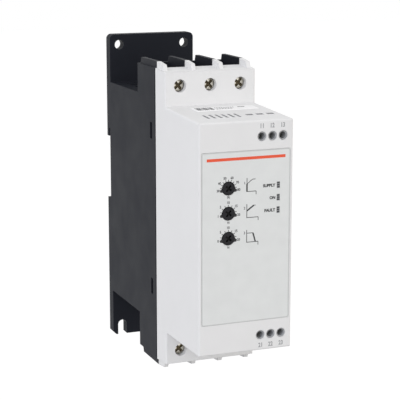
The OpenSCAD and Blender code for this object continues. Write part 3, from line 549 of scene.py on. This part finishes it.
def ribbon(path, width, thickness, closed=False):
    """Flat bar along a path: at each point a rectangle, as wide as given and as thick as the ink, is set
    across the mean of the two neighbouring directions and widened by one over the cosine of half the
    turn, and the rectangles' corners are joined by quads. An open bar is capped at both ends."""
    path = np.asarray(path, float)
    ahead = np.roll(path, -1, axis=0) - path
    ahead /= np.linalg.norm(ahead, axis=1, keepdims=True) + 1e-12
    behind = np.roll(ahead, 1, axis=0)
    if not closed:
        ahead[-1] = behind[-1]
        behind[0] = ahead[0]
    along = ahead + behind
    along /= np.linalg.norm(along, axis=1, keepdims=True)
    half_turn = np.sum(along * ahead, axis=1)
    left = np.stack([-along[:, 1], along[:, 0]], axis=1) * (np.asarray(width) / 2 / half_turn)[:, None]
    low = np.full(len(path), -thickness * SUNK)
    high = np.full(len(path), thickness)
    corners = [(path + left, low), (path - left, low), (path - left, high), (path + left, high)]
    points = np.stack([np.column_stack(c) for c in corners], axis=1).reshape(-1, 3)
    count = len(path)
    i, j = np.meshgrid(np.arange(count if closed else count - 1), np.arange(4), indexing="ij")
    n, k = (i + 1) % count, (j + 1) % 4
    faces = np.stack([4 * i + j, 4 * n + j, 4 * n + k, 4 * i + k], axis=-1).reshape(-1, 4).tolist()
    if not closed:
        last = 4 * (count - 1)
        faces += [[0, 1, 2, 3], [last + 3, last + 2, last + 1, last]]
    return points, faces


def rounded_loop(width, height, radius, steps=6):
    """Closed path round a rectangle about the origin, each corner a quarter circle of some steps."""
    quarter = np.linspace(0, math.pi / 2, steps)
    loops = []
    for turn, (sx, sy) in enumerate(((1, 1), (-1, 1), (-1, -1), (1, -1))):
        angle = quarter + turn * math.pi / 2
        centre = np.array([sx * (width / 2 - radius), sy * (height / 2 - radius)])
        loops.append(centre + radius * np.column_stack([np.cos(angle), np.sin(angle)]))
    return np.concatenate(loops)


def lettering(words, height, place, thickness, anchor=0.0, stretch=1.0, weight=0.015):
    """Words as a thin solid: the glyphs' outlines, filled, thickened and welded, scaled to a height and set
    with their middle, or a share of their width to one side of it, at a place."""
    curve = bpy.data.curves.new("lettering", "FONT")
    curve.body = words
    curve.resolution_u = 3
    curve.extrude = 1.0
    curve.offset = weight
    writer = bpy.data.objects.new("lettering", curve)
    shell = bmesh.new()
    shell.from_mesh(writer.to_mesh())
    bmesh.ops.remove_doubles(shell, verts=shell.verts, dist=WELD)
    bmesh.ops.recalc_face_normals(shell, faces=shell.faces)
    points = np.array([vertex.co for vertex in shell.verts], float)
    faces = [[vertex.index for vertex in face.verts] for face in shell.faces]
    shell.free()
    bpy.data.objects.remove(writer)
    bpy.data.curves.remove(curve)
    low, high = points.min(axis=0), points.max(axis=0)
    points -= (low + high) / 2
    points[:, 0] += anchor * (high[0] - low[0])
    size = height / (high[1] - low[1])
    points *= (size * stretch, size, thickness * (1 + SUNK) / 2)
    points += (place[0], place[1], thickness * (1 - SUNK) / 2)
    return points, faces


def closed_grid(rows, first, last):
    """Closed surface over a grid of points: neighbouring rows are joined by quads and each end row by
    triangles to a point, and the faces are turned outwards by the sign of the volume they enclose."""
    count, around = rows.shape[:2]
    points = np.concatenate([rows.reshape(-1, 3), [first], [last]])
    i, j = np.meshgrid(np.arange(count - 1), np.arange(around), indexing="ij")
    k = (j + 1) % around
    quads = np.stack([i * around + j, i * around + k, (i + 1) * around + k, (i + 1) * around + j], axis=-1)
    j, k = j[0], k[0]
    start, end = count * around, (count - 1) * around
    fans = np.concatenate([np.stack([np.full(around, start), k, j], axis=1),
                           np.stack([np.full(around, start + 1), end + j, end + k], axis=1)])
    quads = quads.reshape(-1, 4)
    thirds = np.concatenate([quads[:, [0, 1, 2]], quads[:, [0, 2, 3]], fans])
    a, b, c = (points[thirds[:, n]] for n in range(3))
    if np.sum(a * np.cross(b, c)) < 0:
        quads, fans = quads[:, ::-1], fans[:, ::-1]
    return points, quads.tolist() + fans.tolist()


def screw_surface(sizes, reach, turn, around=96, rings=30, bends=6, thread_steps=8):
    """Terminal screw about an axis of depth: radius and depth run along a profile over the domed head,
    round its edge and down the shank to the tip. On the head a cross of two bars is sunk, deepest in its
    middle, and on the shank the radius follows a saw wave of depth over pitch less the angle's share of
    a turn, which makes the thread's helix. The share by which each point is sunk comes along."""
    angle = np.linspace(0, math.tau, around, endpoint=False)
    flat_r = sizes.head_r - sizes.head_edge
    top_r = np.linspace(0, flat_r, rings)[1:]
    top_y = -sizes.head_dome * (1 - (top_r / flat_r) ** 2)
    bend = np.linspace(0, math.pi / 2, bends)[1:]
    edge_r = flat_r + sizes.head_edge * np.sin(bend)
    edge_y = sizes.head_edge * (1 - np.cos(bend))
    shank_y = np.arange(sizes.head_t, reach - sizes.thread_pitch / 2, sizes.thread_pitch / thread_steps)
    shank_r = np.full(len(shank_y), sizes.shank_r)
    radius = np.concatenate([top_r, edge_r, [sizes.head_r, sizes.shank_r + sizes.head_edge], shank_r,
                             [sizes.shank_r / 2]])
    depth = np.concatenate([top_y, edge_y, [sizes.head_t, sizes.head_t], shank_y, [reach]])
    radius, depth = radius[:, None] + 0 * angle, depth[:, None] + 0 * angle
    threaded = slice(len(radius) - 1 - len(shank_y), len(radius) - 1)
    phase = (depth[threaded] / sizes.thread_pitch - angle / math.tau) % 1.0
    radius[threaded] -= sizes.thread_depth * np.abs(2 * phase - 1)
    head = slice(0, len(top_r))
    x = radius[head] * np.cos(angle - turn)
    z = radius[head] * np.sin(angle - turn)
    bars = [np.maximum(np.abs(p) - sizes.recess_l / 2, np.abs(q) - sizes.recess_w / 2)
            for p, q in ((x, z), (z, x))]
    sunk = np.clip(0.5 - np.minimum(*bars) / sizes.recess_edge, 0, 1)
    depth[head] += sunk * sizes.recess_d * (1 - sizes.recess_taper * radius[head] / sizes.head_r)
    rows = np.stack([radius * np.cos(angle), depth, radius * np.sin(angle)], axis=-1)
    # The mark is each point's share sunk into the cross recess, which sets its painted shade
    mark = np.zeros(rows.shape[:2])
    mark[head] = sunk
    points, faces = closed_grid(rows, (0, sizes.recess_d - sizes.head_dome, 0), (0, reach, 0))
    return points, faces, np.concatenate([mark.ravel(), [1.0, 0.0]])


def coil_surface(wire_r, coil_r, low, high, turns, around=10, steps=28):
    """Compression spring: a circle of the wire's radius is carried round a helix whose rise follows a
    smooth step of the turn, so that its end turns lie close, square to the helix's direction."""
    t = np.linspace(0, 1, turns * steps + 1)
    angle = math.tau * turns * t
    closed = 1.0 / turns
    open_t = np.clip((t - closed) / (1 - 2 * closed), 0, 1)
    lead = np.clip(t / closed, 0, 1) + np.clip((t - 1 + closed) / closed, 0, 1)
    rise = low + wire_r + lead * wire_r * 2 + open_t * (high - low - 6 * wire_r)
    path = np.stack([coil_r * np.cos(angle), coil_r * np.sin(angle), rise], axis=1)
    along = np.gradient(path, axis=0)
    along /= np.linalg.norm(along, axis=1, keepdims=True)
    out = np.stack([np.cos(angle), np.sin(angle), 0 * angle], axis=1)
    up = np.cross(along, out)
    side = np.linspace(0, math.tau, around, endpoint=False)
    rows = (path[:, None] + wire_r * (np.cos(side)[None, :, None] * out[:, None]
                                      + np.sin(side)[None, :, None] * up[:, None]))
    return closed_grid(rows, path[0], path[-1])


def middle(node):
    """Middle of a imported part's box."""
    low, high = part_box(node)
    return (low + high) / 2


def front_plane():
    """Plane of the front face, with its origin in the middle of the device's width."""
    return SurfacePlane((0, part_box("front_cover")[0].y, 0), (1, 0, 0), (0, 0, 1))


class STARTER_OT_housing(Operator):
    """Finishes of the moulded base, the front cover and the rail latch"""

    bl_idname = "softstarter.housing"
    bl_label = "Housing finishes"

    def execute(self, context):
        look = context.scene.starter_finish
        # The edge_highlight factors paint the moulded edges lighter, as painted highlight
        finish_nodes(moulded("base_plastic", look.base, look, specular=0.07, edge_highlight=1.5, vary=0.04),
                     "base_housing")
        # Painted shade: the vents' walls take the vent colour where the shade mark is one
        finish_nodes(moulded("cover_plastic", look.cover, look, roughness=0.55, specular=0.3, depth=0.6,
                             edge_highlight=1.0, vary=0.012, hollow_shade=look.vent),
                     "front_cover")
        self.mark_vents(look)
        finish_nodes(moulded("latch_plastic", look.latch, look, roughness=0.42, edge_highlight=1.6), "rail_latch")
        return {"FINISHED"}

    def mark_vents(self, look):
        """Marks the vents' walls for painted shade: the cover's upright faces within the span of the vents.
        """
        mesh = NODES["front_cover"].data
        centres, normals = np.empty((2, len(mesh.polygons), 3))
        mesh.polygons.foreach_get("center", centres.ravel())
        mesh.polygons.foreach_get("normal", normals.ravel())
        aside, along, _ = np.abs(centres - (0, middle("control_clamps_upper").y, 0)).T
        shaded_walls = (np.abs(normals[:, 2]) < UPRIGHT) & (aside < look.vents_x) & (along < look.vents_y)
        mark_recess(mesh, "FACE", shaded_walls)


class STARTER_OT_front(Operator):
    """Finishes of the fascia film, the sticker, the dials and the lamps"""

    bl_idname = "softstarter.front"
    bl_label = "Front finishes"

    def execute(self, context):
        look = context.scene.starter_finish
        finish_nodes(coated("fascia_print", look.film), "fascia_film")
        finish_nodes(coated("sticker_paper", look.paper, roughness=0.6), "blank_sticker")
        # Painted shade: the dials' slots painted black behind their front face
        finish_nodes(moulded("dial_plastic", look.dial, look, specular=0.2, depth=0.5, edge_highlight=1.8,
                             face=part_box("dial_upper")[0].y),
                     "dial_{}", LEVELS)
        finish_nodes(ribbed("lamp_plastic", look.lamp, look.lamp_rib, middle("light_pipe_upper").z),
                     "light_pipe_{}", LEVELS)
        return {"FINISHED"}


class STARTER_OT_inside(Operator):
    """Finishes of the boards, the power parts and the terminals inside"""

    bl_idname = "softstarter.inside"
    bl_label = "Inner finishes"

    def execute(self, context):
        look = context.scene.starter_finish
        self.boards(look)
        self.terminals(look)
        return {"FINISHED"}

    def boards(self, look):
        """Boards, what stands on them, and the power parts behind them."""
        pair = ("left", "right")
        finish_nodes(laminate("board_laminate", look.laminate), "{}_board", ("control", "link", "power"))
        finish_nodes(moulded("socket_plastic", look.resin, look, roughness=0.45),
                     "link_socket_{}", ("front", "rear"))
        finish_nodes(moulded("relay_plastic", look.resin, look, roughness=0.3, depth=0.3), "relay_{}", pair)
        finish_nodes(moulded("thyristor_resin", look.resin, look, roughness=0.6), "thyristor_{}", pair)
        finish_nodes(moulded("trimmer_plastic", look.trimmer, look, roughness=0.3, depth=0.3),
                     "trimmer_{}", LEVELS)
        finish_nodes(moulded("indicator_resin", look.indicator, look, roughness=0.2, depth=0.1),
                     "indicator_{}", LEVELS)
        along = (1400.0, 1400.0, 12.0)
        finish_nodes(metal("sink_aluminium", look.aluminium, along, roughness=0.36, depth=0.02), "heat_sink")
        finish_nodes(metal("small_screw_steel", look.zinc, [700.0] * 3),
                     "{}_screws", ("control_board", "power_board", "thyristor", "heat_sink"))

    def terminals(self, look):
        """Clamps, bars and control terminals."""
        ends = ("upper", "lower")
        poles = ("left", "middle", "right")
        steel = metal("clamp_steel", look.zinc, (900.0, 60.0, 900.0), roughness=0.34)
        copper = metal("bar_copper", look.copper, (900.0, 900.0, 40.0), roughness=0.3)
        for side in ("line", "motor"):
            finish_nodes(steel, side + "_clamp_{}", poles)
            finish_nodes(copper, side + "_bar_{}", poles)
        finish_nodes(steel, "control_clamps_{}", ends)
        finish_nodes(moulded("block_plastic", look.block, look, depth=0.6), "control_block_{}", ends)
        finish_nodes(metal("control_screw_steel", look.zinc, (500.0, 900.0, 500.0), roughness=0.35),
                     "control_screws_{}", ends)


class STARTER_OT_fascia_print(Operator):
    """Line round the fascia and the plain stripe at its top"""

    bl_idname = "softstarter.fascia_print"
    bl_label = "Fascia lines"

    def execute(self, context):
        look, sizes = context.scene.starter_finish, context.scene.starter_print
        low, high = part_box("fascia_film")
        width, height = high.x - low.x, high.z - low.z
        border = front_plane()
        inset = 2 * sizes.border_inset
        loop = rounded_loop(width - inset, height - inset, sizes.border_r) + (0, (low.z + high.z) / 2)
        border.add(*ribbon(loop, sizes.border_w, sizes.ink_t, closed=True))
        border.print_piece("fascia_border", "fascia_print", "border_ink", look.border)
        stripe = front_plane()
        z = high.z - sizes.stripe_inset
        ends = [(low.x + sizes.stripe_side, z), (high.x - sizes.stripe_side, z)]
        stripe.add(*ribbon(ends, sizes.stripe_w, sizes.ink_t))
        stripe.print_piece("fascia_stripe", "fascia_print", "stripe_ink", look.stripe)
        return {"FINISHED"}


class STARTER_OT_dial_scales(Operator):
    """Scale marks, wedges, numbers and units round the dials"""

    bl_idname = "softstarter.dial_scales"
    bl_label = "Dial scales"

    def execute(self, context):
        look, sizes = context.scene.starter_finish, context.scene.starter_print
        scales = {"upper": ((30, 40, 50, 60, 70, 80), "(%)"),
                  "middle": ((1, 5, 10, 15, 20), "(s)"),
                  "lower": ((0, 5, 10, 15, 20), "(s)")}
        marks, digits = front_plane(), front_plane()
        for level, (numbers, unit) in scales.items():
            centre = np.array([middle(f"dial_{level}").x, middle(f"dial_{level}").z])
            for turn in np.linspace(-sizes.sweep, sizes.sweep, 2 * len(numbers) - 1)[1:-1]:
                way = np.array([math.sin(turn), math.cos(turn)])
                tick = [centre + sizes.tick_start * way, centre + sizes.tick_end * way]
                marks.add(*ribbon(tick, sizes.tick_w, sizes.ink_t))
            for turn in (-sizes.sweep, sizes.sweep):
                way = np.array([math.sin(turn), math.cos(turn)])
                wedge = [centre + sizes.wedge_start * way, centre + sizes.wedge_end * way]
                marks.add(*ribbon(wedge, (sizes.wedge_w, sizes.wedge_tip), sizes.ink_t))
            turns = np.linspace(-sizes.digit_sweep, sizes.digit_sweep, len(numbers))
            for turn, number in zip(turns, numbers):
                spot = centre + sizes.digit_r * np.array([math.sin(turn), math.cos(turn)])
                digits.add(*lettering(str(number), sizes.digit_h, spot, sizes.ink_t, **DIGIT_STYLE))
            spot = centre - (0, sizes.unit_drop)
            digits.add(*lettering(unit, sizes.digit_h, spot, sizes.ink_t, **DIGIT_STYLE))
        marks.print_piece("dial_marks", "fascia_print", "mark_ink", look.ink)
        digits.print_piece("dial_numbers", "fascia_print", "number_ink", look.grey_ink)
        return {"FINISHED"}


class STARTER_OT_diagrams(Operator):
    """Small diagrams of the starting level, the starting ramp and the stopping ramp beside the dials"""

    bl_idname = "softstarter.diagrams"
    bl_label = "Ramp diagrams"

    def execute(self, context):
        look, sizes = context.scene.starter_finish, context.scene.starter_print
        plots = {
            "upper": {"axes": [(0, 4.1), (0, -2.0), (4.4, -2.0)], "thin": [(0, 1.4), (2.7, 3.4), (4.1, 3.4)],
                      "bold": [(0, -2.0), (0, 1.4)]},
            "middle": {"axes": [(0, 3.6), (0, -2.5), (5.5, -2.5)], "thin": [(3.4, 2.9), (4.2, 2.9)],
                       "bold": [(0.1, 0.6), (3.4, 2.9)]},
            "lower": {"axes": [(0, 3.2), (0, -2.4), (5.5, -2.4)], "thin": [(0, 1.7), (3.0, 1.7)],
                      "bold": [(3.0, 1.7), (4.2, -2.4)]},
        }
        lines = front_plane()
        label = np.array([-sizes.label_x, sizes.label_z])
        for number, (level, plot) in enumerate(plots.items(), start=1):
            dial = middle(f"dial_{level}")
            corner = np.array([dial.x + sizes.diagram_x, dial.z])
            for part, path in plot.items():
                width = sizes.bold_w if part == "bold" else sizes.line_w
                lines.add(*ribbon(corner + np.array(path) * MM, width, sizes.ink_t))
            lines.add(*lettering(str(number), sizes.digit_h, corner + label, sizes.ink_t))
            end = corner + np.array(plot["axes"][-1]) * MM
            lines.add(*ribbon([end, end - (0, sizes.axis_tail)], sizes.line_w, sizes.ink_t))
        lines.print_piece("ramp_diagrams", "fascia_print", "diagram_ink", look.grey_ink)
        return {"FINISHED"}


class STARTER_OT_words(Operator):
    """Plain words beside the lamps and plain numbers at the control terminals"""

    bl_idname = "softstarter.words"
    bl_label = "Words and numbers"

    def execute(self, context):
        look, sizes = context.scene.starter_finish, context.scene.starter_print
        words = front_plane()
        for level, word in zip(LEVELS, ("SUPPLY", "ON", "FAULT")):
            lamp = middle(f"light_pipe_{level}")
            spot = (lamp.x - sizes.lamp_w / 2 - sizes.word_gap, lamp.z)
            words.add(*lettering(word, sizes.word_h, spot, sizes.ink_t, anchor=-0.5, **WORD_STYLE))
        words.print_piece("lamp_words", "fascia_print", "word_ink", look.word_ink)
        numbers = front_plane()
        for end, way, first in (("upper", 1, 11), ("lower", -1, 21)):
            low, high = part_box(f"control_screws_{end}")
            radius = (high.z - low.z) / 2
            for k, x in enumerate(np.linspace(low.x + radius, high.x - radius, 3)):
                spot = (x, (low.z + high.z) / 2 + way * sizes.number_shift)
                numbers.add(*lettering(str(first + k), sizes.number_h, spot, sizes.ink_t, **NUMBER_STYLE))
        numbers.print_piece("terminal_numbers", "cover_plastic", "terminal_ink", look.pale_ink)
        return {"FINISHED"}


class STARTER_OT_sticker_print(Operator):
    """Plain upright bars and rows of dashes on the blank sticker"""

    bl_idname = "softstarter.sticker_print"
    bl_label = "Sticker bars"

    def execute(self, context):
        look, sizes = context.scene.starter_finish, context.scene.starter_print
        low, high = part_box("blank_sticker")
        slope = np.array([0, high.y - low.y, high.z - low.z - sizes.sticker_t])
        depth = np.linalg.norm(slope)
        print_plane = SurfacePlane((low.x, low.y, low.z + sizes.sticker_t), (1, 0, 0), slope / depth)
        # Places along the sticker's width and depth, as shares of them, and the dashes in each row
        first, last, foot, head, count = 0.05, 0.29, 0.2, 0.85, 8
        rows = ((0.35, 0.68, 0.68, 9), (0.35, 0.62, 0.36, 6), (0.73, 0.86, 0.68, 1))
        width = high.x - low.x
        for k, x in enumerate(np.linspace(first, last, count) * width):
            bar_w = sizes.thick_bar if k % 3 == 1 else sizes.thin_bar
            print_plane.add(*ribbon([(x, foot * depth), (x, head * depth)], bar_w, sizes.ink_t))
        for start, end, height, dashes in rows:
            edges = np.linspace(start, end, dashes + 1) * width
            for left, right in zip(edges, edges[1:] - sizes.dash_gap):
                dash = [(left, height * depth), (right, height * depth)]
                print_plane.add(*ribbon(dash, sizes.dash_w, sizes.ink_t))
        print_plane.print_piece("sticker_bars", "sticker_paper", "sticker_ink", look.bar_ink)
        return {"FINISHED"}


class STARTER_OT_terminal_screws(Operator):
    """Terminal screws with a domed head, a cross recess and a thread"""

    bl_idname = "softstarter.terminal_screws"
    bl_label = "Terminal screws"

    def execute(self, context):
        look, sizes = context.scene.starter_finish, context.scene.starter_pieces
        # Painted shade: the cross recess takes the dark recess colour where the shade mark is one
        plating = metal("terminal_screw_steel", look.yellow_zinc, [600.0] * 3, roughness=0.2,
                        hollow_shade=look.recess)
        for node in ("line_screws", "motor_screws"):
            low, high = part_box(node)
            points, faces, marks, count = [], [], [], 0
            for k, x in enumerate(np.linspace(low.x + sizes.head_r, high.x - sizes.head_r, 3)):
                turn = sizes.screw_turn + (k - 1) * sizes.screw_step
                shape, quads, mark = screw_surface(sizes, high.y - low.y, turn)
                points.append(shape + (x, low.y, (low.z + high.z) / 2))
                faces += [[v + count for v in face] for face in quads]
                marks.append(mark)
                count += len(shape)
            piece = add_piece(f"{node}_threaded", np.concatenate(points), faces, HOUSING,
                              plating, smooth=SCREW_CREASE,
                              marks=np.concatenate(marks))
            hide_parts(node)
        return {"FINISHED"}


class STARTER_OT_latch_spring(Operator):
    """Coil spring of the rail latch"""

    bl_idname = "softstarter.latch_spring"
    bl_label = "Latch spring"

    def execute(self, context):
        look, sizes = context.scene.starter_finish, context.scene.starter_pieces
        low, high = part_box("latch_spring")
        coil_r = (high.x - low.x) / 2 - sizes.wire_r
        points, faces = coil_surface(sizes.wire_r, coil_r, low.z, high.z, sizes.spring_turns)
        points += (0, (low.y + high.y) / 2, 0)
        wire = metal("spring_steel", look.zinc, [900.0] * 3, roughness=0.3)
        piece = add_piece("latch_coil", points, faces, HOUSING, wire, smooth=COIL_CREASE)
        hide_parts("latch_spring")
        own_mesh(piece)
        return {"FINISHED"}


def background_rays(tree):
    """Socket that is one for the rays that should see the plain white background."""
    rays = add_node(tree, "LightPath").outputs
    seen = rays["Is Camera Ray"]
    for kind in ("Is Glossy Ray", "Is Transmission Ray"):
        seen = add_node(tree, "Math", {0: seen, 1: rays[kind]}, operation="MAXIMUM").outputs[0]
    return seen


def add_lamp(name, spot, target, power, colour, size):
    """Large square lamp that faces a point."""
    lamp = bpy.data.lights.new(name, "AREA")
    lamp.energy = power
    lamp.color = colour
    lamp.size = size
    holder = bpy.data.objects.new(name, lamp)
    holder.location = spot
    holder.rotation_euler = (Vector(target) - Vector(spot)).to_track_quat("-Z", "Y").to_euler()
    bpy.context.scene.collection.objects.link(holder)


class STARTER_OT_stage(Operator):
    """White surroundings, a pale floor, soft lamps and the camera"""

    bl_idname = "softstarter.stage"
    bl_label = "Stage"

    def execute(self, context):
        stage = context.scene.starter_stage
        self.surround(context.scene, stage)
        self.floor(context.scene, stage)
        centre = (CAD_BOX[0] + CAD_BOX[1]) / 2
        add_lamp("key_lamp", stage.key_place, centre, stage.key, stage.key_tone, stage.lamp_size)
        add_lamp("fill_lamp", stage.fill_place, centre, stage.fill, stage.fill_tone, stage.lamp_size)
        camera = bpy.data.objects.new("camera", bpy.data.cameras.new("camera"))
        camera.data.lens = stage.lens
        camera.data.clip_start = 0.01
        camera.location = stage.eye
        camera.rotation_euler = stage.aim
        context.scene.collection.objects.link(camera)
        context.scene.camera = camera
        context.scene.view_settings.view_transform = "Standard"
        return {"FINISHED"}

    def surround(self, scene, stage):
        """World that lights from all round, less from above, and looks white."""
        scene.world = bpy.data.worlds.new("surround")
        scene.world.use_nodes = True
        tree = scene.world.node_tree
        tree.nodes.clear()
        height = split_place(tree, "Generated")["Z"]
        fade = spread_values(tree, height, stage.ambient, stage.ambient * stage.zenith)
        light = add_node(tree, "Background", {"Color": WHITE, "Strength": fade})
        white = add_node(tree, "Background", {"Color": WHITE, "Strength": 1.0})
        mix = add_node(tree, "MixShader",
                       {0: background_rays(tree), 1: light.outputs[0], 2: white.outputs[0]})
        add_node(tree, "OutputWorld", {"Surface": mix.outputs[0]})

    def floor(self, scene, stage):
        """Wide pale floor below the starter, which keeps its shadow."""
        material, tree, shader = new_material("floor")
        glow = spread_values(tree, background_rays(tree), 0.0, stage.floor_glow)
        feed(tree, shader, {"Base Color": (*[stage.floor_tone] * 3, 1.0), "Roughness": 0.9,
                            "Emission Color": WHITE, "Emission Strength": glow})
        span, z = stage.floor_span, CAD_BOX[0].z - stage.floor_drop
        corners = [(-span, -span, z), (span, -span, z), (span, span, z), (-span, span, z)]
        mesh = bpy.data.meshes.new("floor")
        mesh.from_pydata(corners, [], [(0, 1, 2, 3)])
        mesh.materials.append(material)
        floor = bpy.data.objects.new("floor", mesh)
        scene.collection.objects.link(floor)


OPERATORS = (STARTER_OT_housing, STARTER_OT_front, STARTER_OT_inside, STARTER_OT_fascia_print,
             STARTER_OT_dial_scales, STARTER_OT_diagrams, STARTER_OT_words, STARTER_OT_sticker_print,
             STARTER_OT_terminal_screws, STARTER_OT_latch_spring, STARTER_OT_stage)


class STARTER_PT_panel(Panel):
    """Sidebar panel with the starter's steps"""

    bl_idname = "STARTER_PT_panel"
    bl_label = "Soft starter"
    bl_space_type = "VIEW_3D"
    bl_region_type = "UI"
    bl_category = "Soft starter"

    def draw(self, context):
        for operator in OPERATORS:
            self.layout.operator(operator.bl_idname)


def register():
    """Registers the settings, the steps and the panel."""
    for attribute, group in GROUPS:
        bpy.utils.register_class(group)
        setattr(Scene, attribute, PointerProperty(type=group))
    for cls in (*OPERATORS, STARTER_PT_panel):
        bpy.utils.register_class(cls)


def unregister():
    """Removes what register added."""
    for cls in (STARTER_PT_panel, *reversed(OPERATORS)):
        bpy.utils.unregister_class(cls)
    for attribute, group in reversed(GROUPS):
        delattr(Scene, attribute)
        bpy.utils.unregister_class(group)


def main():
    """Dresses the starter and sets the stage."""
    register()
    for operator in OPERATORS:
        _, step = operator.bl_idname.split(".")
        getattr(bpy.ops.softstarter, step)()


if __name__ == "__main__":
    main()
